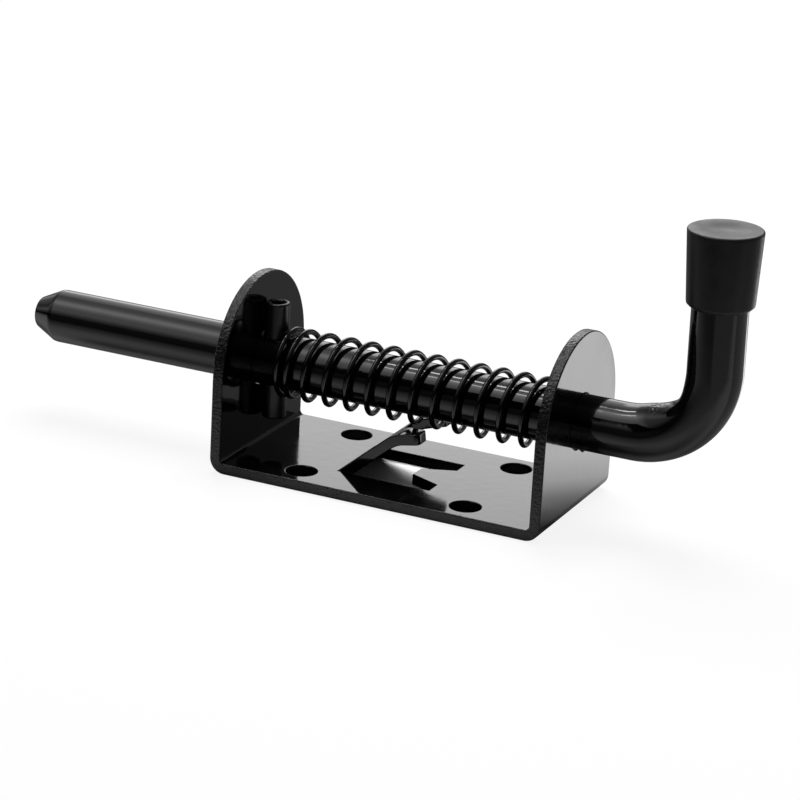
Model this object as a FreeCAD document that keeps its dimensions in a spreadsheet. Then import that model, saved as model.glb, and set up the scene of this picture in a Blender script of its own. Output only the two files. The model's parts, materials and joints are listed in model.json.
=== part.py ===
import FreeCAD, Part
import math
import os
import re
import Sketcher

# Spring-loaded latch bolt on a bent-up sheet-metal bracket.
# Units are millimetres. The origin is the middle of the four mounting holes on the underside of
# the bracket; +X runs along the bolt towards the handle, +Y across the plate, +Z off the surface
# that the bracket is screwed to.

document = FreeCAD.newDocument("latch_bolt")

# ---------------------------------------------------------------------------------------------
# Driving dimensions
# ---------------------------------------------------------------------------------------------
DIMENSIONS = [
    # bracket: one strip of sheet folded up at both ends
    ("bracket_length", 80.0, "over the outer faces of the two ears"),
    ("bracket_width", 40.0, "across the plate; the ear tops are rounded to half of it"),
    ("sheet_thickness", 2.5, "bracket sheet"),
    ("axis_height", 22.0, "bolt axis above the underside"),
    ("fold_inside_radius", 1.0, "inside radius of the two ear folds"),
    ("hole_spacing_long", 40.0, "mounting holes, along the bolt"),
    ("hole_spacing_wide", 28.0, "mounting holes, across the plate"),
    ("hole_diameter", 7.0, "mounting holes"),
    ("bore_clearance", 0.1, "radial gap between an ear bore and the bolt"),
    # catch: a forked tongue cut out of the plate and bent up
    ("tongue_fold_place", 13.2, "from the middle of the plate to the tongue's fold"),
    ("tongue_width", 18.6, "across the tongue"),
    ("shear_gap", 0.2, "gap left by the shear at each side of the tongue"),
    ("ramp_angle", 41.0, "slope of the lower part of the tongue, degrees"),
    ("crest_angle", 10.5, "slope of its end part, degrees"),
    ("tongue_headroom", 1.8, "from the top of the straight lower part up to the spring"),
    ("crest_radius", 8.6, "radius of the bend between them, upper face"),
    ("crest_length", 4.0, "straight end part, along its upper face"),
    ("notch_depth", 7.4, "depth of the fork's notch along the plate"),
    ("prong_width", 3.9, "each prong at its end"),
    ("notch_root", 4.4, "width of the notch at its bottom"),
    ("prong_corner", 1.2, "rounded outer corners of the fork"),
    # bolt: round bar, cone at the nose, bent up into a handle
    ("bolt_diameter", 12.3, "round 12 mm bar with its enamel"),
    ("nose_reach", 56.0, "nose beyond the near ear's outer face"),
    ("nose_taper", 5.4, "length of the cone at the nose"),
    ("nose_end_diameter", 7.6, "flat end of the nose"),
    ("nose_edge", 0.8, "bevel round the flat end"),
    ("handle_reach", 29.7, "handle axis beyond the other ear's outer face, at bolt height"),
    ("bend_radius", 16.8, "bend of the bar, on its centre line"),
    ("handle_lean", 0.8, "handle leans back towards the bracket, degrees"),
    ("handle_height", 46.6, "end of the bar above the bolt axis, along the handle"),
    # cap: moulded rubber ferrule pushed on the handle
    ("cap_length", 17.0, "rubber cap"),
    ("cap_end_thickness", 1.8, "closed end of the cap"),
    ("cap_open_wall", 1.23, "wall at the open end"),
    ("cap_closed_wall", 2.03, "wall at the closed end"),
    ("cap_open_bevel", 1.0, "bevel round the open end"),
    ("cap_rim_radius", 0.45, "rounded rim of the closed end"),
    ("cap_dish_depth", 0.4, "shallow dish in the closed end"),
    ("cap_rim_width", 1.9, "flat and rounded rim round the dish"),
    ("cap_fit", 0.02, "radial gap between cap and bar"),
    # cross pin: rolled spring pin through the bolt
    ("pin_diameter", 5.5, "rolled pin"),
    ("pin_wall", 1.2, "strip that the pin is rolled from"),
    ("pin_slot", 1.0, "slot along the rolled pin"),
    ("pin_reach", 7.45, "pin beyond the bolt, at each end"),
    ("pin_end_bevel", 0.4, "bevel at both ends"),
    ("pin_fit", 0.01, "radial gap between the pin and its cross hole"),
    ("pin_ear_gap", 0.2, "between the pin and the near ear"),
    # spring: round wire, wound left-handed, over the bolt between pin and far ear
    ("wire_diameter", 1.3, "spring wire"),
    ("coil_gap", 0.8, "radial gap between the bolt and the spring"),
    ("end_pitch", 1.5, "pitch of the closed coil at each end"),
    ("end_turns", 1.0, "closed turns at each end"),
    ("easing_pitch", 3.6, "pitch where the closed coil opens"),
    ("easing_turns", 1.0, "turns at that pitch, at each end"),
    ("open_turns", 10.93, "open turns"),
    ("wire_start_angle", 283.5, "where the wire begins, from straight down, degrees"),
    ("coil_end_gap", 0.05, "gap left at each end of the spring"),
]

sizes = document.addObject("Spreadsheet::Sheet", "Sizes")
for row, (alias, number, meaning) in enumerate(DIMENSIONS, start=1):
    sizes.set("A%d" % row, str(number))
    sizes.set("B%d" % row, meaning)
    sizes.setAlias("A%d" % row, alias)
document.recompute()

ALIASES = {alias for alias, number, meaning in DIMENSIONS}


def in_sheet(formula):
    """The formula with each alias written as a cell of the sheet."""
    return re.sub(r"[a-z_]+", lambda word: "Sizes." + word.group()
                  if word.group() in ALIASES else word.group(), formula)


def bind(item, prop, formula):
    item.setExpression(prop, in_sheet(formula))


# places that several pieces share, as formulas of the driving dimensions
EAR_OUTER = "(bracket_length / 2)"
EAR_INNER = "(bracket_length / 2 - sheet_thickness)"
BOLT_RADIUS = "(bolt_diameter / 2)"
COIL_RADIUS = "(bolt_diameter / 2 + coil_gap + wire_diameter / 2)"
SPRING_RADIUS = "(bolt_diameter / 2 + coil_gap + wire_diameter)"
PIN_PLACE = "(-bracket_length / 2 + sheet_thickness + pin_ear_gap + pin_diameter / 2)"
HANDLE_PLACE = "(bracket_length / 2 + handle_reach)"
BEND_ANGLE = "(90 + handle_lean)"
BEND_START = "(bracket_length / 2 + handle_reach - bend_radius * tan((90 + handle_lean) / 2))"
RAMP_RISE = "(axis_height - %s - tongue_headroom - sheet_thickness)" % SPRING_RADIUS
NOTCH_MOUTH = "(tongue_width - 2 * prong_width)"


# ---------------------------------------------------------------------------------------------
# Sketch helpers
# ---------------------------------------------------------------------------------------------
def new_body(label):
    body = document.addObject("PartDesign::Body", label)
    body.Label = label
    return body


def new_sketch(body, plane, name, offset="0"):
    """A sketch on one of the body's own origin planes, lifted along its normal."""
    sketch = body.newObject("Sketcher::SketchObject", name)
    base = [feature for feature in body.Origin.OriginFeatures if feature.Role == plane][0]
    sketch.AttachmentSupport = [(base, "")]
    sketch.MapMode = "FlatFace"
    if offset != "0":
        bind(sketch, "AttachmentOffset.Base.z", offset)
    return sketch


def value(body, formula):
    return float(body.evalExpression(in_sheet(formula)))


def hold(sketch, geometry, point, across, up):
    """Hold one point of the sketch at the place that two formulas give."""
    for kind, formula, axis in (("DistanceX", across, -2), ("DistanceY", up, -1)):
        if formula is None:
            continue
        if formula == "0":
            sketch.addConstraint(Sketcher.Constraint("PointOnObject", geometry, point, axis))
            continue
        number = value(sketch, formula)
        index = sketch.addConstraint(
            Sketcher.Constraint(kind, -1, 1, geometry, point, number))
        bind(sketch, "Constraints[%d]" % index, formula)


def outline(sketch, corners, closed=True):
    """Lines and arcs from corner to corner. A corner is (across, up), and one that starts an arc
    is (across, up, centre across, centre up, turn), where turn is +1 anticlockwise."""
    spots = [FreeCAD.Vector(value(sketch, c[0]), value(sketch, c[1]), 0) for c in corners]
    count = len(corners) if closed else len(corners) - 1
    ends = []
    for number in range(count):
        corner = corners[number]
        start = spots[number]
        end = spots[(number + 1) % len(corners)]
        if len(corner) == 2:
            index = sketch.addGeometry(Part.LineSegment(start, end), False)
            ends.append((index, 1, 2))
            continue
        centre = FreeCAD.Vector(value(sketch, corner[2]), value(sketch, corner[3]), 0)
        circle = Part.Circle(centre, FreeCAD.Vector(0, 0, 1), (start - centre).Length)
        first, last = (start, end) if corner[4] > 0 else (end, start)
        angles = [math.atan2(p.y - centre.y, p.x - centre.x) for p in (first, last)]
        if angles[1] <= angles[0]:
            angles[1] += 2 * math.pi
        index = sketch.addGeometry(Part.ArcOfCircle(circle, *angles), False)
        ends.append((index, 1, 2) if corner[4] > 0 else (index, 2, 1))
        chord = end - start
        if abs(chord.x) > abs(chord.y):
            hold(sketch, index, 3, None, corner[3])
        else:
            hold(sketch, index, 3, corner[2], None)
    for number in range(count):
        index, first, last = ends[number]
        hold(sketch, index, first, corners[number][0], corners[number][1])
        if closed or number + 1 < count:
            following = ends[(number + 1) % count]
            sketch.addConstraint(
                Sketcher.Constraint("Coincident", index, last, following[0], following[1]))
        else:
            hold(sketch, index, last, corners[-1][0], corners[-1][1])


def circle(sketch, across, up, radius):
    """A circle whose centre and radius are formulas."""
    centre = FreeCAD.Vector(value(sketch, across), value(sketch, up), 0)
    size = value(sketch, radius)
    index = sketch.addGeometry(Part.Circle(centre, FreeCAD.Vector(0, 0, 1), size), False)
    hold(sketch, index, 3, across, up)
    radius_index = sketch.addConstraint(Sketcher.Constraint("Radius", index, size))
    bind(sketch, "Constraints[%d]" % radius_index, radius)


def pad(body, sketch, name, length, side="Symmetric", reverse=False):
    feature = body.newObject("PartDesign::Pad", name)
    feature.Profile = sketch
    feature.SideType = side
    feature.Reversed = reverse
    bind(feature, "Length", length)
    document.recompute()
    return feature


def pocket(body, sketch, name, length, side="Symmetric", reverse=False):
    """A pocket, checked to have taken something away."""
    before = body.Shape.Volume
    feature = body.newObject("PartDesign::Pocket", name)
    feature.Profile = sketch
    feature.SideType = side
    feature.Reversed = reverse
    bind(feature, "Length", length)
    document.recompute()
    assert body.Shape.Volume < before - 1e-3, name + " cuts nothing"
    return feature


def revolve(body, sketch, name, axis):
    feature = body.newObject("PartDesign::Revolution", name)
    feature.Profile = sketch
    line = [item for item in body.Origin.OriginFeatures if item.Role == axis][0]
    feature.ReferenceAxis = (line, [""])
    document.recompute()
    return feature


# ---------------------------------------------------------------------------------------------
# Bracket: plate, two ears with full round tops, bolt bores, mounting holes, forked catch tongue
# ---------------------------------------------------------------------------------------------
def make_bracket():
    body = new_body("mounting_bracket")

    strip = new_sketch(body, "XZ_Plane", "strip_outline")
    outer = "fold_inside_radius + sheet_thickness"
    top = "axis_height + bracket_width / 2"
    outline(strip, [
        ("-" + EAR_OUTER, top),
        ("-" + EAR_OUTER, outer,
         "-%s + %s" % (EAR_OUTER, outer), outer, 1),
        ("-%s + %s" % (EAR_OUTER, outer), "0"),
        ("%s - (%s)" % (EAR_OUTER, outer), "0",
         "%s - (%s)" % (EAR_OUTER, outer), outer, 1),
        (EAR_OUTER, outer),
        (EAR_OUTER, top),
        (EAR_INNER, top),
        (EAR_INNER, outer,
         EAR_INNER + " - fold_inside_radius", outer, -1),
        (EAR_INNER + " - fold_inside_radius", "sheet_thickness"),
        ("-%s + fold_inside_radius" % EAR_INNER, "sheet_thickness",
         "-%s + fold_inside_radius" % EAR_INNER, outer, -1),
        ("-" + EAR_INNER, outer),
        ("-" + EAR_INNER, top),
    ])
    pad(body, strip, "strip", "bracket_width")

    ear_ends = new_sketch(body, "YZ_Plane", "ear_ends_outline")
    half = "bracket_width / 2"
    outline(ear_ends, [
        ("-" + half, "axis_height", "0", "axis_height", -1),
        (half, "axis_height"),
        ("bracket_width", "axis_height"),
        ("bracket_width", "axis_height + bracket_width"),
        ("-bracket_width", "axis_height + bracket_width"),
        ("-bracket_width", "axis_height"),
    ])
    pocket(body, ear_ends, "ear_ends", "bracket_length * 2")

    bores = new_sketch(body, "YZ_Plane", "bolt_bores_outline")
    circle(bores, "0", "axis_height", BOLT_RADIUS + " + bore_clearance")
    pocket(body, bores, "bolt_bores", "bracket_length * 2")

    holes = new_sketch(body, "XY_Plane", "mounting_holes_outline")
    for along in ("-", ""):
        for across in ("-", ""):
            circle(holes, along + "hole_spacing_long / 2", across + "hole_spacing_wide / 2",
                   "hole_diameter / 2")
    pocket(body, holes, "mounting_holes", "sheet_thickness * 4")

    # the window is the flattened tongue: its length is the tongue's length before bending
    window = new_sketch(body, "XY_Plane", "window_outline")
    mid_bend = "(crest_radius - sheet_thickness / 2) * (ramp_angle - crest_angle) * pi / 180"
    flat = "(%s / sin(ramp_angle) + crest_length + %s)" % (RAMP_RISE, mid_bend)
    window_end = "-tongue_fold_place + " + flat
    side = "(tongue_width / 2 + shear_gap)"
    outline(window, [
        ("-tongue_fold_place", "-" + side),
        (window_end, "-" + side),
        (window_end, "-%s / 2" % NOTCH_MOUTH),
        (window_end + " - notch_depth", "-notch_root / 2"),
        (window_end + " - notch_depth", "notch_root / 2"),
        (window_end, NOTCH_MOUTH + " / 2"),
        (window_end, side),
        ("-tongue_fold_place", side),
    ])
    pocket(body, window, "window", "sheet_thickness * 4")

    # tongue, seen from the side: ramp, bend and end part, all of the sheet's thickness
    tongue = new_sketch(body, "XZ_Plane", "tongue_outline")
    ramp_x = "(-tongue_fold_place + %s / tan(ramp_angle))" % RAMP_RISE
    ramp_z = "(sheet_thickness + %s)" % RAMP_RISE
    centre_x = ramp_x + " + crest_radius * sin(ramp_angle)"
    centre_z = ramp_z + " - crest_radius * cos(ramp_angle)"
    crest_x = "(%s - crest_radius * sin(crest_angle))" % centre_x
    crest_z = "(%s + crest_radius * cos(crest_angle))" % centre_z
    tip_x = crest_x + " + crest_length * cos(crest_angle)"
    tip_z = crest_z + " + crest_length * sin(crest_angle)"
    down_ramp = ("sheet_thickness * sin(ramp_angle)", "sheet_thickness * cos(ramp_angle)")
    down_crest = ("sheet_thickness * sin(crest_angle)", "sheet_thickness * cos(crest_angle)")
    root_x = "-tongue_fold_place + sheet_thickness * tan(ramp_angle / 2)"
    outline(tongue, [
        ("-tongue_fold_place", "sheet_thickness"),
        (ramp_x, ramp_z, centre_x, centre_z, -1),
        (crest_x, crest_z),
        (tip_x, tip_z),
        ("%s + %s" % (tip_x, down_crest[0]), "%s - %s" % (tip_z, down_crest[1])),
        ("%s + %s" % (crest_x, down_crest[0]), "%s - %s" % (crest_z, down_crest[1]),
         centre_x, centre_z, 1),
        ("%s + %s" % (ramp_x, down_ramp[0]), "%s - %s" % (ramp_z, down_ramp[1])),
        (root_x, "0"),
        ("-tongue_fold_place - sheet_thickness", "0"),
        ("-tongue_fold_place - sheet_thickness", "sheet_thickness"),
    ])
    pad(body, tongue, "tongue", "tongue_width")

    # the notch is as deep as it was in the flat sheet, less what the slopes take up
    notch = new_sketch(body, "XY_Plane", "notch_outline", "sheet_thickness * 1.5")
    mouth = "(%s + %s)" % (tip_x, down_crest[0])
    root = "(%s - notch_depth * cos(crest_angle))" % mouth
    outline(notch, [
        (mouth + " + sheet_thickness", "-%s / 2" % NOTCH_MOUTH),
        (mouth + " + sheet_thickness", NOTCH_MOUTH + " / 2"),
        (mouth, NOTCH_MOUTH + " / 2"),
        (root, "notch_root / 2"),
        (root, "-notch_root / 2"),
        (mouth, "-%s / 2" % NOTCH_MOUTH),
    ])
    pocket(body, notch, "notch", "axis_height", "One side", True)

    # outer corners of the two prongs are rounded off
    corners = (body.Tip, prong_edges(body, value(body, tip_x), value(body, mouth)))
    feature = body.newObject("PartDesign::Fillet", "prong_corners")
    feature.Base = corners
    bind(feature, "Radius", "min(prong_corner; prong_width * 0.4)")
    document.recompute()
    return body


def prong_edges(body, top, bottom):
    """Names of the outer edges that run through the sheet at the ends of the two prongs."""
    side = value(body, "tongue_width / 2")
    names = []
    for number, edge in enumerate(body.Shape.Edges, start=1):
        spots = [vertex.Point for vertex in edge.Vertexes]
        if len(spots) == 2 and all(abs(abs(spot.y) - side) < 1e-4 for spot in spots) and \
                abs(min(spots[0].x, spots[1].x) - top) < 1e-4 and \
                abs(max(spots[0].x, spots[1].x) - bottom) < 1e-4:
            names.append("Edge%d" % number)
    return names


# ---------------------------------------------------------------------------------------------
# Bolt: turned nose, straight bar, bend and handle, with the cross hole for the pin
# ---------------------------------------------------------------------------------------------
def make_bolt():
    body = new_body("bolt")
    bind(body, "Placement.Base.z", "axis_height")

    nose = "(-bracket_length / 2 - nose_reach)"
    bar = new_sketch(body, "XZ_Plane", "bar_outline")
    outline(bar, [
        (nose, "0"),
        (nose, "nose_end_diameter / 2 - nose_edge"),
        (nose + " + nose_edge", "nose_end_diameter / 2"),
        (nose + " + nose_taper", BOLT_RADIUS),
        (BEND_START, BOLT_RADIUS),
        (BEND_START, "0"),
    ])
    revolve(body, bar, "bar", "X_Axis")

    section = new_sketch(body, "YZ_Plane", "handle_section", BEND_START)
    circle(section, "0", "0", BOLT_RADIUS)
    path = new_sketch(body, "XZ_Plane", "handle_path")
    bend_end = (BEND_START + " + bend_radius * sin(%s)" % BEND_ANGLE,
                "bend_radius - bend_radius * cos(%s)" % BEND_ANGLE)
    outline(path, [
        (BEND_START, "0", BEND_START, "bend_radius", 1),
        bend_end,
        (HANDLE_PLACE + " - handle_height * sin(handle_lean)",
         "handle_height * cos(handle_lean)"),
    ], closed=False)
    document.recompute()
    handle = body.newObject("PartDesign::AdditivePipe", "handle")
    handle.Profile = section
    handle.Spine = (path, [])
    document.recompute()

    cross = new_sketch(body, "XY_Plane", "cross_hole_outline")
    circle(cross, PIN_PLACE, "0", "pin_diameter / 2 + pin_fit")
    pocket(body, cross, "cross_hole", "bolt_diameter * 2")
    return body


# ---------------------------------------------------------------------------------------------
# Cross pin: rolled from strip, so hollow with a slot down the side that faces the near ear,
# bevelled at both ends
# ---------------------------------------------------------------------------------------------
def make_pin():
    body = new_body("cross_pin")
    bind(body, "Placement.Base.x", PIN_PLACE)
    bind(body, "Placement.Base.z", "axis_height")

    wall = new_sketch(body, "XZ_Plane", "pin_wall_outline")
    half = "(%s + pin_reach)" % BOLT_RADIUS
    bore = "pin_diameter / 2 - pin_wall"
    outline(wall, [
        (bore, "-" + half),
        ("pin_diameter / 2 - pin_end_bevel", "-" + half),
        ("pin_diameter / 2", "-%s + pin_end_bevel" % half),
        ("pin_diameter / 2", half + " - pin_end_bevel"),
        ("pin_diameter / 2 - pin_end_bevel", half),
        (bore, half),
    ])
    revolve(body, wall, "pin_wall", "Z_Axis")

    slot = new_sketch(body, "XY_Plane", "pin_slot_outline")
    outline(slot, [
        ("0", "-pin_slot / 2"),
        ("-pin_diameter", "-pin_slot / 2"),
        ("-pin_diameter", "pin_slot / 2"),
        ("0", "pin_slot / 2"),
    ])
    pocket(body, slot, "pin_slot", "bolt_diameter + 4 * pin_reach")
    return body


# ---------------------------------------------------------------------------------------------
# Cap: one solid of revolution on the handle's axis, closed at the top
# ---------------------------------------------------------------------------------------------
def make_cap():
    body = new_body("rubber_cap")
    seat = "(handle_height + cap_end_thickness - cap_length)"
    lean = "handle_lean"
    bind(body, "Placement.Base.x", "%s - %s * sin(%s)" % (HANDLE_PLACE, seat, lean))
    bind(body, "Placement.Base.z", "axis_height + %s * cos(%s)" % (seat, lean))
    bind(body, "Placement.Rotation.Axis.x", "0")
    bind(body, "Placement.Rotation.Axis.y", "-1")
    bind(body, "Placement.Rotation.Axis.z", "0")
    bind(body, "Placement.Rotation.Angle", lean)

    wall = new_sketch(body, "XZ_Plane", "cap_outline")
    bore = BOLT_RADIUS + " + cap_fit"
    depth = "cap_length - cap_end_thickness"
    open_radius = bore + " + cap_open_wall"
    closed_radius = bore + " + cap_closed_wall"
    dish_radius = closed_radius + " - cap_rim_width"
    outline(wall, [
        (bore, "0"),
        (open_radius + " - cap_open_bevel", "0"),
        (open_radius, "cap_open_bevel"),
        (closed_radius, "cap_length - cap_rim_radius",
         closed_radius + " - cap_rim_radius", "cap_length - cap_rim_radius", 1),
        (closed_radius + " - cap_rim_radius", "cap_length"),
        (dish_radius, "cap_length"),
        (dish_radius + " - cap_dish_depth", "cap_length - cap_dish_depth"),
        ("0", "cap_length - cap_dish_depth"),
        ("0", depth),
        (bore, depth),
    ])
    revolve(body, wall, "cap", "Z_Axis")
    return body


# ---------------------------------------------------------------------------------------------
# Spring: wire swept along a left-handed helix that closes up towards both ends
# ---------------------------------------------------------------------------------------------
def make_spring():
    wire = sizes.wire_diameter
    radius = value(sizes, COIL_RADIUS)
    # the wire meets the pin where it first runs straight above or below the bolt
    to_pin = (180 - sizes.wire_start_angle % 180) / 360 * sizes.end_pitch
    start = value(sizes, PIN_PLACE + " + pin_diameter / 2 + coil_end_gap") + wire / 2 - to_pin
    finish = value(sizes, EAR_INNER + " - coil_end_gap") - wire / 2
    end_rise = sizes.end_turns * sizes.end_pitch
    easing_rise = sizes.easing_turns * sizes.easing_pitch
    open_rise = finish - start - 2 * (end_rise + easing_rise)
    open_pitch = open_rise / sizes.open_turns

    edges = []
    along = 0.0
    turned = sizes.wire_start_angle
    for pitch, rise in ((sizes.end_pitch, end_rise), (sizes.easing_pitch, easing_rise),
                        (open_pitch, open_rise), (sizes.easing_pitch, easing_rise),
                        (sizes.end_pitch, end_rise)):
        stretch = Part.makeLongHelix(pitch, rise, radius, 0, True)
        stretch.rotate(FreeCAD.Vector(0, 0, 0), FreeCAD.Vector(0, 0, 1), -turned)
        stretch.translate(FreeCAD.Vector(0, 0, along))
        edges += stretch.Edges
        along += rise
        turned += 360 * rise / pitch
    spine = Part.Wire(edges)

    ring = Part.Circle(FreeCAD.Vector(radius, 0, 0), FreeCAD.Vector(0, 1, 0), wire / 2)
    section = Part.Wire([ring.toShape()])
    section.rotate(FreeCAD.Vector(0, 0, 0), FreeCAD.Vector(0, 0, 1), -sizes.wire_start_angle)
    coil = spine.makePipeShell([section], True, True)
    feature = document.addObject("Part::Feature", "compression_spring")
    feature.Label = "compression_spring"
    feature.Shape = coil
    quarter = FreeCAD.Rotation(FreeCAD.Vector(0, 1, 0), 90)
    feature.Placement = FreeCAD.Placement(
        FreeCAD.Vector(start, 0, sizes.axis_height), quarter)
    return feature


# ---------------------------------------------------------------------------------------------
# Build, check and write
# ---------------------------------------------------------------------------------------------
pieces = [make_bracket(), make_bolt(), make_pin(), make_cap(), make_spring()]
document.recompute()

faults = [item.Name + ": " + str(item.State) for item in document.Objects
          if "Invalid" in item.State or "Error" in item.State]
for piece in pieces:
    if piece.Shape.isNull() or not piece.Shape.isValid() or len(piece.Shape.Solids) != 1:
        faults.append(piece.Label + ": not one valid solid")
if faults:
    raise SystemExit("\n".join(faults))

os.makedirs("parts", exist_ok=True)
for piece in pieces:
    piece.Shape.exportStep("parts/%s.step" % piece.Label)
    box = piece.Shape.BoundBox
    print("%-20s volume %9.1f  x %7.2f %7.2f  y %7.2f %7.2f  z %7.2f %7.2f" % (
        piece.Label, piece.Shape.Volume, box.XMin, box.XMax, box.YMin, box.YMax,
        box.ZMin, box.ZMax))
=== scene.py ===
import json
import math

import bmesh
import bpy
from mathutils import Matrix, Quaternion, Vector


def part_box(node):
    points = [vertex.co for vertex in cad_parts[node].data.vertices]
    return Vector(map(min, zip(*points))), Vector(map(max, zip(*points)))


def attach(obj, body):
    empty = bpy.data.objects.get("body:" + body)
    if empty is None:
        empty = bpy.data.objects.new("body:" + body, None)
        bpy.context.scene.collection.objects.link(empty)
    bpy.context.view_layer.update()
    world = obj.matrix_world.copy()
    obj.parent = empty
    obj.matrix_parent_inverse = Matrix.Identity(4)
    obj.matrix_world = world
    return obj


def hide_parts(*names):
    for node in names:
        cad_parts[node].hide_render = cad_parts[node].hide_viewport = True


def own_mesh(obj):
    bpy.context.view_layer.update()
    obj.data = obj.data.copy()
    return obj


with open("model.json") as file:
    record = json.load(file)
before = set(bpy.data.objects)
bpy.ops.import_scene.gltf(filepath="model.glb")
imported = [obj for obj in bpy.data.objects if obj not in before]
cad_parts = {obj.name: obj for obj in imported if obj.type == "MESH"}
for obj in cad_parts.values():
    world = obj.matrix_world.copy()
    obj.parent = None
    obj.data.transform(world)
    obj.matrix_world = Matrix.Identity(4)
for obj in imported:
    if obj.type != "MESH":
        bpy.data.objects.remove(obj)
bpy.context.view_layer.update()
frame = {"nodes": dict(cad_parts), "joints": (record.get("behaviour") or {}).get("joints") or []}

# Spring-loaded latch bolt on a folded bracket. X runs along the bolt towards the handle, Z stands
# off the plate, and the front is at -Y. Everything is in metres.

# --- Camera ---------------------------------------------------------------------------------------
# A long lens in front of the latch, a little above it and towards the handle's end, held slightly
# out of level. mm turns a maker's millimetres into metres here and in every later section.
mm = 0.001
look_at = Vector((-3.28, 0.0, 18.36)) * mm
camera_azimuth = math.radians(24.264)
camera_elevation = math.radians(19.18)
camera_roll = math.radians(3.194)
camera_distance = 716.0 * mm

towards_camera = Vector((
    math.sin(camera_azimuth) * math.cos(camera_elevation),
    -math.cos(camera_azimuth) * math.cos(camera_elevation),
    math.sin(camera_elevation),
))
camera_data = bpy.data.cameras.new("camera")
camera_data.lens = 144.85
camera_data.sensor_width = 36.0
camera_data.clip_start = 0.01
camera_data.clip_end = 20.0
camera = bpy.data.objects.new("camera", camera_data)
camera.location = look_at + towards_camera * camera_distance
camera.rotation_mode = "QUATERNION"
camera.rotation_quaternion = (
    (-towards_camera).to_track_quat("-Z", "Y") @ Quaternion((0, 0, 1), camera_roll))
bpy.context.scene.collection.objects.link(camera)
bpy.context.scene.camera = camera
bpy.context.scene.view_settings.view_transform = "Standard"


# --- Floor ----------------------------------------------------------------------------------------
# A sheet of white paper, lit to a clean white. In the enamel's reflections it carries painted shade
# and painted light: darker towards the camera and under the bolt, lighter to the right, and glowing
# in a strip at the back right, a painted reflection of the bright cloth there. Under the plate it
# is a near-black painted shadow, except where the camera looks through the plate's window.
def mesh_object(name, mesh_maker):
    """Turns a bmesh into an object at the origin, with smooth faces."""
    mesh = bpy.data.meshes.new(name)
    for face in mesh_maker.faces:
        face.smooth = True
    mesh_maker.to_mesh(mesh)
    mesh_maker.free()
    piece = bpy.data.objects.new(name, mesh)
    bpy.context.scene.collection.objects.link(piece)
    return piece


def add(tree, kind, inputs=None, **settings):
    """A new node with its settings, and its inputs as numbers or as links from other sockets."""
    node = tree.nodes.new("ShaderNode" + kind)
    for name, setting in settings.items():
        setattr(node, name, setting)
    for name, given in (inputs or {}).items():
        if isinstance(given, bpy.types.NodeSocket):
            tree.links.new(given, node.inputs[name])
        else:
            node.inputs[name].default_value = given
    return node


def spread_stops(ramp, stops):
    """Places grey stops on a colour ramp, from (position, level) pairs."""
    while len(ramp.color_ramp.elements) < len(stops):
        ramp.color_ramp.elements.new(0.5)
    for stop, (position, level) in zip(ramp.color_ramp.elements, stops):
        stop.position = position
        stop.color = (level, level, level, 1.0)


floor_half_width = 2.5
# Painted shade: the paper's tone along Y for reflections, darker towards the camera and under and
# behind the bolt.
painted_shade_tone = [
    (-0.40, 0.03), (-0.14, 0.07), (-0.057, 0.18), (-0.03, 0.34), (-0.006, 0.34),
    (0.006, 0.08), (0.20, 0.08),
]
# Painted reflection: a glowing strip at the back right standing in for bright cloth, unseen by the
# camera.
painted_sheen_tone = [(-0.010, 0.0), (0.006, 0.12), (0.019, 0.36), (0.032, 0.72), (0.055, 1.0), (0.26, 1.0)]
painted_sheen_width = [(-0.055, 0.0), (-0.032, 1.0), (0.032, 1.0), (0.055, 0.0)]
painted_sheen_brightness = 2.25
painted_sheen_start = 0.04
painted_sheen_slant, painted_sheen_edge_slant = 1.2, 2.2
# Painted light: the paper's tone for reflections rises to the right.
painted_light_right_level = 0.17
painted_light_right_start, painted_light_right_full = 0.05, 0.09
steep_view, shallow_view = 0.45, 0.64
# Painted shadow: under the plate the paper turns near black, except in the plate's window seen by
# the camera.
under_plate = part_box("mounting_bracket")[1] - Vector((3.4, 0.9, 0.0)) * mm
window_left, window_right, window_half = -13.5 * mm, 9.0 * mm, 9.6 * mm


def ramp_along(tree, distance, stops):
    """Grey levels along a distance in metres, from (distance, level) pairs."""
    first, last = stops[0][0], stops[-1][0]
    along = add(tree, "MapRange", {"Value": distance, "From Min": first, "From Max": last})
    ramp = add(tree, "ValToRGB", {0: along.outputs[0]})
    spread_stops(ramp, [((at - first) / (last - first), level) for at, level in stops])
    return ramp.outputs["Color"]


def new_material(name):
    """A material and its node tree."""
    material = bpy.data.materials.new(name)
    material.use_nodes = True
    return material, material.node_tree


def math_node(tree, operation, *given):
    """The result of one arithmetic node."""
    return add(tree, "Math", dict(enumerate(given)), operation=operation).outputs[0]


def inside(tree, place, low, high):
    """1 inside a rectangle of the floor and 0 outside."""
    result = 1.0
    for axis in (0, 1):
        for operation, bound in (("GREATER_THAN", low[axis]), ("LESS_THAN", high[axis])):
            test = math_node(tree, operation, place.outputs[axis], bound)
            result = math_node(tree, "MULTIPLY", test, result)
    return result


floor_shape = bmesh.new()
bmesh.ops.create_grid(floor_shape, x_segments=1, y_segments=1, size=floor_half_width)
bmesh.ops.translate(floor_shape, vec=(0, 0, -0.02 * mm), verts=floor_shape.verts)
floor = mesh_object("floor", floor_shape)
floor_paper, tree = new_material("white_paper")
tree.nodes.clear()
place = add(tree, "SeparateXYZ", {0: add(tree, "TexCoord").outputs["Object"]})
painted_light_right = add(tree, "MapRange", {
    "Value": place.outputs["X"], "From Min": painted_light_right_start, "From Max": painted_light_right_full,
    "To Max": painted_light_right_level})
# Painted shade and painted light: the paper's tone for reflections, the lighter of the tone along Y
# and the rise to the right.
tone = math_node(
    tree, "MAXIMUM", ramp_along(tree, place.outputs["Y"], painted_shade_tone), painted_light_right.outputs[0])
paper = add(tree, "BsdfDiffuse", {"Color": tone})
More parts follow.
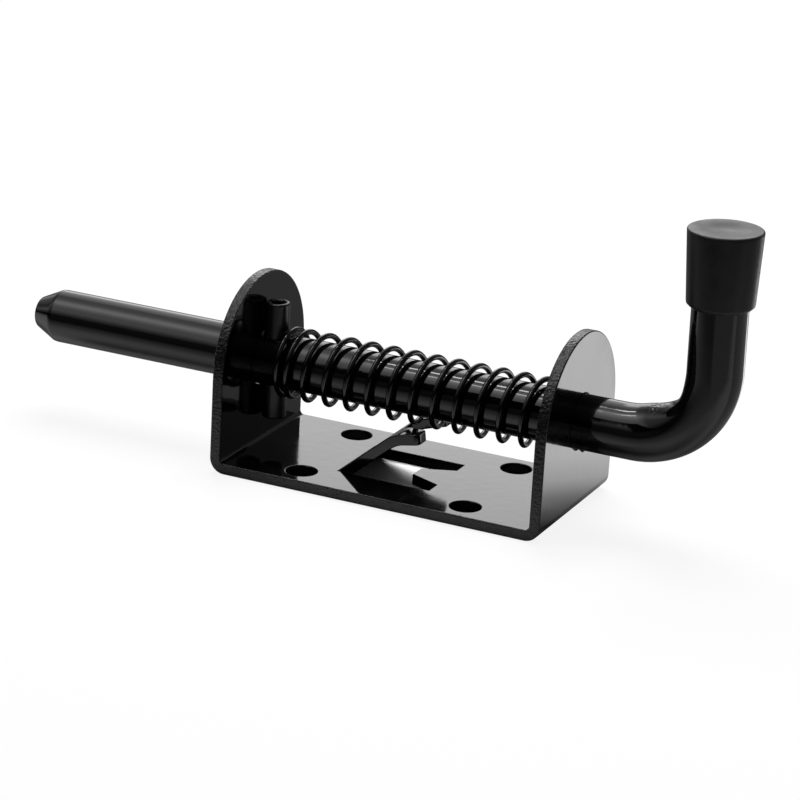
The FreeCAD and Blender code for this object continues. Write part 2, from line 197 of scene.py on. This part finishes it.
# Painted reflection: the glowing strip on the paper, brighter where it is seen at shallow angles.
along_painted_sheen = math_node(
    tree, "MULTIPLY_ADD", place.outputs["X"], painted_sheen_slant, -painted_sheen_slant * painted_sheen_start)
across_painted_sheen = math_node(
    tree, "MULTIPLY_ADD", place.outputs["X"], -painted_sheen_edge_slant, painted_sheen_edge_slant * painted_sheen_start)
painted_sheen = math_node(
    tree, "MULTIPLY",
    ramp_along(tree, math_node(tree, "ADD", place.outputs["Y"], along_painted_sheen), painted_sheen_tone),
    ramp_along(tree, math_node(tree, "ADD", place.outputs["Y"], across_painted_sheen), painted_sheen_width))
facing = add(tree, "LayerWeight", {"Blend": 0.5}).outputs["Facing"]
shallow = add(tree, "MapRange", {
    "Value": facing, "From Min": steep_view, "From Max": shallow_view,
    "To Max": painted_sheen_brightness}).outputs[0]
painted_sheen_glow = add(tree, "Emission", {"Color": painted_sheen, "Strength": shallow})
mirrored = add(tree, "AddShader", {0: paper.outputs[0], 1: painted_sheen_glow.outputs[0]})
# Painted shadow: a near-black sheet under the plate.
painted_shadow = add(tree, "BsdfDiffuse", {"Color": (0.02, 0.02, 0.02, 1.0)})
pale = add(tree, "BsdfDiffuse", {"Color": (0.8, 0.8, 0.8, 1.0)})
lit = add(tree, "Emission", {"Color": (1.0, 1.0, 1.0, 1.0), "Strength": 0.95})
clean = add(tree, "MixShader", {0: 0.93, 1: pale.outputs[0], 2: lit.outputs[0]})
seen = add(tree, "LightPath").outputs["Is Camera Ray"]
open_floor = add(tree, "MixShader", {0: seen, 1: mirrored.outputs[0], 2: clean.outputs[0]})
covered = inside(tree, place, -under_plate, under_plate)
in_window = inside(
    tree, place, (window_left, -window_half), (window_right, window_half))
seen_in_window = math_node(tree, "MULTIPLY", in_window, seen)
beneath = add(tree, "MixShader", {0: seen_in_window, 1: painted_shadow.outputs[0], 2: pale.outputs[0]})
whole = add(tree, "MixShader", {0: covered, 1: open_floor.outputs[0], 2: beneath.outputs[0]})
add(tree, "OutputMaterial", {"Surface": whole.outputs[0]})
floor.data.materials.append(floor_paper)

# --- Light ----------------------------------------------------------------------------------------
# A light tent, bright overhead and behind: its brightness runs from the front horizon (0 degrees)
# over the top to the back horizon (180), and falls off to both sides. A softbox, two strips and a
# panel light the nose's end inside it, and a black card in front shades that end.
tent_brightness = [
    (0, 0.06), (17, 0.06), (28, 0.45), (40, 1.05), (54, 1.15), (64, 1.8), (74, 2.7), (82, 2.2),
    (90, 1.3), (100, 0.8), (112, 0.65), (124, 1.2), (138, 1.3), (150, 1.6), (160, 2.7),
    (165, 2.6), (171, 0.9), (180, 0.4),
]
brightest = max(level for angle, level in tent_brightness)
side_brightness = [
    (-1.0, 0.25), (-0.62, 0.35), (-0.50, 1.0), (-0.25, 1.0), (-0.05, 0.08), (1.0, 0.08)]

world = bpy.data.worlds.new("light_tent")
world.use_nodes = True
bpy.context.scene.world = world
tree = world.node_tree
tree.nodes.clear()
split = add(tree, "SeparateXYZ", {0: add(tree, "TexCoord").outputs["Generated"]})
front = math_node(tree, "MULTIPLY", split.outputs["Y"], -1.0)
angle = math_node(tree, "ARCTAN2", split.outputs["Z"], front)
cloth = add(tree, "ValToRGB", {0: math_node(tree, "DIVIDE", angle, math.pi)})
spread_stops(cloth, [
    (degrees / 180, level / brightest) for degrees, level in tent_brightness])
sides = ramp_along(tree, split.outputs["X"], side_brightness)
strength = math_node(tree, "MULTIPLY", sides, brightest)
tent = add(tree, "Background", {"Color": cloth.outputs["Color"], "Strength": strength})
white = add(tree, "Background", {"Color": (1.0, 1.0, 1.0, 1.0), "Strength": 1.0})
seen = add(tree, "LightPath").outputs["Is Camera Ray"]
either = add(tree, "MixShader", {0: seen, 1: tent.outputs[0], 2: white.outputs[0]})
add(tree, "OutputWorld", {"Surface": either.outputs[0]})


def lamp(name, place, target, width, height, brightness, mirrored=True):
    """A rectangular light aimed at a point, unseen by the camera, mirrored by enamel or not."""
    data = bpy.data.lights.new(name, "AREA")
    data.shape = "RECTANGLE"
    data.size = width
    data.size_y = height
    data.energy = brightness * width * height * math.pi
    item = bpy.data.objects.new(name, data)
    item.location = place
    item.rotation_mode = "QUATERNION"
    item.rotation_quaternion = (Vector(target) - Vector(place)).to_track_quat("-Z", "Y")
    item.visible_camera = False
    item.visible_glossy = mirrored
    bpy.context.scene.collection.objects.link(item)


lamp("back_softbox", (-0.1, 0.35, 0.75), (0.0, 0.0, 0.0), 0.5, 0.5, 20.0, mirrored=False)
beyond_nose = (-0.130, 0.0, 0.022)
lamp("rear_strip", (-0.130, 0.066, 0.399), beyond_nose, 0.085, 0.035, 12.0)
lamp("front_strip", (-0.130, -0.072, 0.398), beyond_nose, 0.085, 0.026, 7.0)
lamp("rear_panel", (-0.140, 0.285, 0.255), beyond_nose, 0.10, 0.13, 1.8)

card_width, card_height = 0.11, 0.235
card_middle = (-0.130, -0.300, 0.228)
card_shape = bmesh.new()
bmesh.ops.create_grid(card_shape, x_segments=1, y_segments=1, size=0.5)
bmesh.ops.scale(card_shape, vec=(card_width, card_height, 1.0), verts=card_shape.verts)
bmesh.ops.rotate(
    card_shape, cent=(0, 0, 0), matrix=Matrix.Rotation(math.pi / 2, 3, "X"),
    verts=card_shape.verts)
bmesh.ops.translate(card_shape, vec=card_middle, verts=card_shape.verts)
card = mesh_object("black_card", card_shape)
card.visible_camera = False
card_paper, tree = new_material("black_card")
shader = tree.nodes["Principled BSDF"]
shader.inputs["Base Color"].default_value = (0, 0, 0, 1)
shader.inputs["Specular IOR Level"].default_value = 0.0
card.data.materials.append(card_paper)

# --- Bracket --------------------------------------------------------------------------------------
# One strip of sheet steel, punched, sheared and folded up at both ends, with its forked catch
# tongue bent out of the plate. Enamelled gloss black; its sheared rims stay rough under the paint.
bracket_low, bracket_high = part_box("mounting_bracket")
half_width = bracket_high.y
axis_height = frame["joints"][0]["pos_m"][2]
sheet_thickness = 2.5 * mm
sheet_edge_rounding = 0.30 * mm
sheared_rim_depth = 0.32 * mm
sharp_corner = math.radians(30)
rim_slope, face_slope = 0.35, 0.93


def enamel(name, peel, grit=0.0, gloss=(0.05, 0.11), wrinkled=False):
    """Black enamel: flow marks a few millimetres long, dust nibs, and patches more or less shiny.
    peel and grit are the heights of the flow marks and of fine grit, in metres. gloss is the
    least and most roughness, and wrinkled adds the creases of a crushed bend."""
    material, tree = new_material(name)
    shader = tree.nodes["Principled BSDF"]
    spot = add(tree, "TexCoord").outputs["Object"]
    patches = add(tree, "TexNoise", {"Vector": spot, "Scale": 90.0, "Detail": 3.0})
    shine = add(tree, "MapRange", {
        "Value": patches.outputs["Fac"], "From Min": 0.35, "From Max": 0.65,
        "To Min": gloss[0], "To Max": gloss[1]})
    tree.links.new(shine.outputs[0], shader.inputs["Roughness"])
    tone = add(tree, "ValToRGB", {0: patches.outputs["Fac"]})
    spread_stops(tone, [(0.3, 0.0008), (0.7, 0.0022)])
    tree.links.new(tone.outputs["Color"], shader.inputs["Base Color"])
    flow = add(tree, "TexNoise", {"Vector": spot, "Scale": 420.0, "Detail": 2.0})
    flow_bump = add(tree, "Bump", {
        "Height": flow.outputs["Fac"], "Distance": peel, "Strength": 1.0})
    dust = add(tree, "TexVoronoi", {"Vector": spot, "Scale": 130.0})
    nib = add(tree, "MapRange", {
        "Value": dust.outputs["Distance"], "From Min": 0.012, "From Max": 0.03,
        "To Min": 1.0, "To Max": 0.0})
    nib_bump = add(tree, "Bump", {
        "Height": nib.outputs[0], "Distance": 0.03 * mm, "Normal": flow_bump.outputs[0]})
    surface = nib_bump
    if grit:
        grain = add(tree, "TexNoise", {"Vector": spot, "Scale": 1500.0, "Detail": 3.0})
        surface = add(tree, "Bump", {
            "Height": grain.outputs["Fac"], "Distance": grit, "Normal": surface.outputs[0]})
    if wrinkled:
        crease = add(tree, "Attribute", attribute_name="crushed")
        hatch = add(tree, "TexVoronoi", {"Vector": spot, "Scale": 1600.0})
        height = math_node(tree, "MULTIPLY", hatch.outputs["Distance"], crease.outputs["Fac"])
        surface = add(tree, "Bump", {
            "Height": height, "Distance": 0.12 * mm, "Normal": surface.outputs[0]})
    tree.links.new(surface.outputs[0], shader.inputs["Normal"])
    shader.inputs["IOR"].default_value = 1.5
    return material


def even_shading(piece):
    """Lets the large faces of a piece set its shading."""
    even = piece.modifiers.new("even_normals", "WEIGHTED_NORMAL")
    even.keep_sharp = True


shape = bmesh.new()
shape.from_mesh(frame["nodes"]["mounting_bracket"].data)
bmesh.ops.remove_doubles(shape, verts=shape.verts, dist=0.002 * mm)
bmesh.ops.dissolve_limit(
    shape, angle_limit=math.radians(0.5), verts=shape.verts, edges=shape.edges)
sharp = [edge for edge in shape.edges if edge.calc_face_angle(0.0) > sharp_corner]
bmesh.ops.bevel(
    shape, geom=sharp, offset=sheet_edge_rounding, offset_type="OFFSET", segments=3,
    profile=0.5, affect="EDGES", clamp_overlap=False, material=-1)
for face in shape.faces:
    middle = face.calc_center_median()
    reach = math.hypot(middle.y, max(middle.z - axis_height, 0.0))
    if reach > half_width - sheared_rim_depth and abs(face.normal.x) < face_slope:
        face.material_index = 1 if abs(face.normal.x) < rim_slope else 2
bracket = mesh_object("folded_bracket", shape)
bracket.data.materials.append(enamel("bracket_enamel", 0.012 * mm))
bracket.data.materials.append(enamel("sheared_edge", 0.05 * mm, 0.26 * mm, (0.05, 0.14)))
bracket.data.materials.append(enamel("burred_corner", 0.05 * mm, 0.7 * mm, (0.02, 0.05)))
even_shading(bracket)
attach(bracket, "bracket")
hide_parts("mounting_bracket")

# --- Bolt -----------------------------------------------------------------------------------------
# One round steel bar with a turned cone at its nose and a cold-bent handle. The inside of the bend
# is squeezed and wrinkled, and the enamel has run into one small drop under the bar beside the ear.
bolt_low, bolt_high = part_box("bolt")
bolt_radius = bolt_high.y
nose_end_radius = 3.8 * mm
nose_edge = 0.8 * mm
nose_taper = 5.4 * mm
bend_radius = 16.8 * mm
handle_lean = math.radians(0.8)
handle_place = bracket_high.x + 29.7 * mm
handle_height = 46.6 * mm
bend_angle = math.pi / 2 + handle_lean
bend_start = handle_place - bend_radius * math.tan(bend_angle / 2)
bolt_facets = 96
pin_radius = 2.75 * mm
pin_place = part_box("cross_pin")[0].x + pin_radius
cross_hole_radius = pin_radius + 0.01 * mm
drop_place = bracket_high.x + 0.8 * mm
drop_height = 0.9 * mm
drop_width = 0.7 * mm
upset_height, upset_angle, upset_spread = 0.6 * mm, 14.0, 16.0
fold_depth, fold_angle, fold_spread = 1.1 * mm, 54.0, 17.0
crease_angle, crease_spread = 30.0, 11.0
untouched_length = 3 * mm


def round_corner(centre, radius, first, last, steps):
    """Points of an arc in an outline of (along, out), between two angles in degrees."""
    return [
        (centre[0] + radius * math.cos(math.radians(first + (last - first) * step / steps)),
         centre[1] + radius * math.sin(math.radians(first + (last - first) * step / steps)))
        for step in range(steps + 1)]


def lathe(outline, facets):
    """Spins an open outline of (along, out) full circle about the X axis through the origin."""
    turned = bmesh.new()
    points = [turned.verts.new((along, 0.0, out)) for along, out in outline]
    lines = [turned.edges.new(pair) for pair in zip(points, points[1:])]
    bmesh.ops.spin(
        turned, geom=points + lines, cent=(0, 0, 0), axis=(1, 0, 0), angle=2 * math.pi,
        steps=facets, use_merge=True)
    bmesh.ops.remove_doubles(turned, verts=turned.verts, dist=0.001 * mm)
    return turned


def hump(distance, spread, power=2):
    """A smooth rise from 0 to 1 and back, as wide as spread on each side."""
    return math.exp(-(distance / spread) ** power)


def place_in_bend(point):
    """The point from the bend's centre, its angle round the bend, and how far in it lies."""
    from_centre = point - bend_centre
    bent_by = math.degrees(math.atan2(from_centre.x, -from_centre.z))
    return from_centre, bent_by, bend_radius - math.hypot(from_centre.x, from_centre.z)


nose_tip = bolt_low.x
cone_end = nose_tip + nose_taper
outline = [(nose_tip, 0.0)]
outline += round_corner(
    (nose_tip + nose_edge, nose_end_radius - nose_edge), nose_edge, 180, 115, 5)
outline += [
    (cone_end - 0.7 * mm, bolt_radius - 0.36 * mm), (cone_end - 0.2 * mm, bolt_radius - 0.10 * mm),
    (cone_end + 0.5 * mm, bolt_radius)]
outline += [(x, bolt_radius) for x in (pin_place - 4 * mm, pin_place + 4 * mm)]
outline += [(drop_place + step * 0.25 * mm, bolt_radius) for step in range(-8, 9)]
outline += [(bend_start - 6 * mm + step * 0.5 * mm, bolt_radius) for step in range(13)]
shape = lathe(outline, bolt_facets)
bmesh.ops.translate(shape, vec=(0, 0, axis_height), verts=shape.verts)

end_ring = [edge for edge in shape.edges if edge.is_boundary]
bent = bmesh.ops.spin(
    shape, geom=end_ring, cent=(bend_start, 0, axis_height + bend_radius), axis=(0, -1, 0),
    angle=bend_angle, steps=60)
handle_ring = [item for item in bent["geom_last"] if isinstance(item, bmesh.types.BMEdge)]
along_handle = Vector((-math.sin(handle_lean), 0.0, math.cos(handle_lean)))
handle_root = Vector((handle_place, 0.0, axis_height))
straight = handle_height - bend_radius * math.tan(bend_angle / 2)
for length in (6.0 * mm, straight - 6.5 * mm, 0.5 * mm):
    grown = bmesh.ops.extrude_edge_only(shape, edges=handle_ring)["geom"]
    bmesh.ops.translate(
        shape, vec=along_handle * length,
        verts=[item for item in grown if isinstance(item, bmesh.types.BMVert)])
    handle_ring = [item for item in grown if isinstance(item, bmesh.types.BMEdge)
                   and item.is_boundary]
bmesh.ops.edgenet_fill(shape, edges=handle_ring)
bmesh.ops.recalc_face_normals(shape, faces=shape.faces)

bend_centre = Vector((bend_start, 0.0, axis_height + bend_radius))
for vertex in shape.verts:
    from_centre, bent_by, inward = place_in_bend(vertex.co)
    if from_centre.z < 0 and vertex.co.x > bracket_high.x + untouched_length and inward > 0:
        swell = upset_height * hump(bent_by - upset_angle, upset_spread)
        fold = fold_depth * hump(bent_by - fold_angle, fold_spread)
        shift = (swell - fold) * (inward / bolt_radius) ** 2
        vertex.co -= from_centre.normalized() * shift
for vertex in shape.verts:
    away = math.hypot(vertex.co.x - drop_place, vertex.co.y)
    if vertex.co.z < axis_height and away < 4 * drop_width:
        vertex.co.z -= drop_height * hump(away, drop_width)

bar = mesh_object("bolt_bar", shape)
drill = bmesh.new()
bmesh.ops.create_cone(
    drill, cap_ends=True, segments=64, radius1=cross_hole_radius, radius2=cross_hole_radius,
    depth=4 * bolt_radius, matrix=Matrix.Translation((pin_place, 0, axis_height)))
drill_bit = mesh_object("drill_bit", drill)
cut = bar.modifiers.new("cross_hole", "BOOLEAN")
cut.operation = "DIFFERENCE"
cut.object = drill_bit
drilled = bpy.data.meshes.new_from_object(
    bar.evaluated_get(bpy.context.evaluated_depsgraph_get()))
bar.modifiers.clear()
bar.data = drilled
bpy.data.objects.remove(drill_bit)
crushed = bar.data.attributes.new("crushed", "FLOAT", "POINT")
for vertex in bar.data.vertices:
    from_centre, bent_by, inward = place_in_bend(vertex.co)
    share = hump(bent_by - crease_angle, crease_spread, 4)
    crushed.data[vertex.index].value = share * max(inward / bolt_radius, 0.0) ** 6
bar.data.materials.append(enamel("bolt_enamel", 0.02 * mm, wrinkled=True))
even_shading(bar)
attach(bar, "bolt")
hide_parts("bolt")

# --- Cross pin ------------------------------------------------------------------------------------
# A spring pin rolled from steel strip, pressed through the bolt beside the near ear. Its slot
# faces that ear, and its ends are rounded over.
pin_low, pin_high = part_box("cross_pin")
pin_wall = 1.2 * mm
pin_end_rounding = 0.45 * mm
pin_slot_half = 0.5 * mm
pin_slot_angle = 2 * math.asin(pin_slot_half / pin_radius)
shape = bmesh.new()
corners = [
    shape.verts.new((pin_radius - across, 0.0, height))
    for across, height in ((pin_wall, pin_low.z), (0.0, pin_low.z), (0.0, pin_high.z),
                           (pin_wall, pin_high.z))]
shape.faces.new(corners)
bmesh.ops.bevel(
    shape, geom=corners, offset=pin_end_rounding, offset_type="OFFSET", segments=4, profile=0.5,
    affect="VERTICES", material=-1)
bmesh.ops.rotate(
    shape, cent=(0, 0, 0), verts=shape.verts,
    matrix=Matrix.Rotation(math.pi + pin_slot_angle / 2, 3, "Z"))
bmesh.ops.spin(
    shape, geom=shape.verts[:] + shape.edges[:] + shape.faces[:], cent=(0, 0, 0), axis=(0, 0, 1),
    angle=2 * math.pi - pin_slot_angle, steps=60)
bmesh.ops.translate(shape, vec=(pin_place, 0, 0), verts=shape.verts)
bmesh.ops.recalc_face_normals(shape, faces=shape.faces)
pin = mesh_object("rolled_pin", shape)
pin.data.materials.append(enamel("pin_finish", 0.01 * mm, 0.02 * mm, (0.28, 0.4)))
even_shading(pin)
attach(pin, "bolt")
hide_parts("cross_pin")

# --- Spring ---------------------------------------------------------------------------------------
# Round spring wire wound left-handed over the bolt, closed up at both ends, between the pin and
# the far ear. It shortens towards the far ear as the bolt is drawn back.
wire_radius = 0.65 * mm
wire_clearance = 0.05 * mm
coil_radius = bolt_radius + 0.8 * mm + wire_radius
far_end = bracket_high.x - sheet_thickness - wire_clearance
first_angle = math.radians(283.5)
end_pitch = 1.5 * mm
easing_pitch = 3.6 * mm
open_turns = 10.93
steps_per_turn = 48
to_pin = (math.pi - first_angle % math.pi) / (2 * math.pi) * end_pitch
wire_start = pin_place + pin_radius + wire_clearance + wire_radius - to_pin
wire_end = far_end - wire_radius
open_pitch = (wire_end - wire_start - 2 * (end_pitch + easing_pitch)) / open_turns

shape = bmesh.new()
bmesh.ops.create_circle(
    shape, cap_ends=True, segments=20, radius=wire_radius,
    matrix=Matrix.Translation((wire_start, 0, -coil_radius)) @ Matrix.Rotation(math.pi / 2, 4, "X"))
bmesh.ops.rotate(
    shape, cent=(0, 0, 0), verts=shape.verts, matrix=Matrix.Rotation(-first_angle, 3, "X"))
moving = shape.verts[:] + shape.edges[:] + shape.faces[:]
for pitch, turns in ((end_pitch, 1.0), (easing_pitch, 1.0), (open_pitch, open_turns),
                     (easing_pitch, 1.0), (end_pitch, 1.0)):
    steps = round(turns * steps_per_turn)
    grown = bmesh.ops.spin(
        shape, geom=moving, cent=(0, 0, 0), axis=(-1, 0, 0), angle=turns * 2 * math.pi,
        steps=steps, dvec=(pitch * turns / steps, 0, 0))
    moving = grown["geom_last"]
bmesh.ops.translate(shape, vec=(0, 0, axis_height), verts=shape.verts)
bmesh.ops.recalc_face_normals(shape, faces=shape.faces)
spring = mesh_object("wound_spring", shape)
spring.data.materials.append(enamel("spring_finish", 0.01 * mm, 0.0, (0.06, 0.14)))
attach(spring, "spring")
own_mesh(spring)
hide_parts("compression_spring")

# --- Rubber cap -----------------------------------------------------------------------------------
# A moulded rubber ferrule pushed on the end of the handle: tapered, bevelled at its open end, with
# a shallow dish in its closed end.
cap_length = 17.0 * mm
cap_end_thickness = 1.8 * mm
cap_bore = bolt_radius + 0.02 * mm
cap_open_radius = cap_bore + 1.23 * mm
cap_closed_radius = cap_bore + 2.03 * mm
cap_rim = 0.45 * mm
cap_bevel = 1.0 * mm
dish_depth = 0.55 * mm
dish_rim, dish_spread, dish_steps = 0.96, 0.80, 8
cap_seat = handle_height + cap_end_thickness - cap_length
outline = [(cap_length - cap_end_thickness, 0.0), (cap_length - cap_end_thickness, cap_bore)]
outline += [(0.1 * mm, cap_bore), (0.0, cap_bore + 0.1 * mm)]
outline += [
    (0.0, cap_open_radius - cap_bevel), (0.25 * mm, cap_open_radius - 0.6 * cap_bevel),
    (0.75 * cap_bevel, cap_open_radius - 0.08 * mm), (1.15 * cap_bevel, cap_open_radius)]
outline += [(cap_length - cap_rim - 0.4 * mm, cap_closed_radius - 0.02 * mm)]
outline += round_corner(
    (cap_length - cap_rim, cap_closed_radius - cap_rim), cap_rim, 80, 0, 6)
outline += [
    (cap_length - dish_depth * (1 - math.cos(step / dish_steps * math.pi)) / 2,
     (cap_closed_radius - cap_rim) * (dish_rim - dish_spread * step / dish_steps))
    for step in range(dish_steps + 1)]
outline += [(cap_length - dish_depth, 0.0)]
shape = lathe(outline, 96)
upright = Matrix.Rotation(-math.pi / 2 - handle_lean, 4, "Y")
bmesh.ops.transform(
    shape, matrix=Matrix.Translation(handle_root + along_handle * cap_seat) @ upright,
    verts=shape.verts)
bmesh.ops.recalc_face_normals(shape, faces=shape.faces)
cap = mesh_object("handle_cap", shape)

rubber, tree = new_material("cap_rubber")
shader = tree.nodes["Principled BSDF"]
spot = add(tree, "TexCoord").outputs["Object"]
bloom = add(tree, "TexNoise", {"Vector": spot, "Scale": 260.0, "Detail": 4.0})
tone = add(tree, "ValToRGB", {0: bloom.outputs["Fac"]})
spread_stops(tone, [(0.3, 0.011), (0.7, 0.019)])
tree.links.new(tone.outputs["Color"], shader.inputs["Base Color"])
matt = add(tree, "MapRange", {
    "Value": bloom.outputs["Fac"], "From Min": 0.3, "From Max": 0.7, "To Min": 0.3, "To Max": 0.42})
tree.links.new(matt.outputs[0], shader.inputs["Roughness"])
grain = add(tree, "TexNoise", {"Vector": spot, "Scale": 2600.0, "Detail": 3.0})
skin = add(tree, "Bump", {"Height": grain.outputs["Fac"], "Distance": 0.02 * mm})
tree.links.new(skin.outputs[0], shader.inputs["Normal"])
shader.inputs["Specular IOR Level"].default_value = 0.22
cap.data.materials.append(rubber)
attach(cap, "bolt")
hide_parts("rubber_cap")
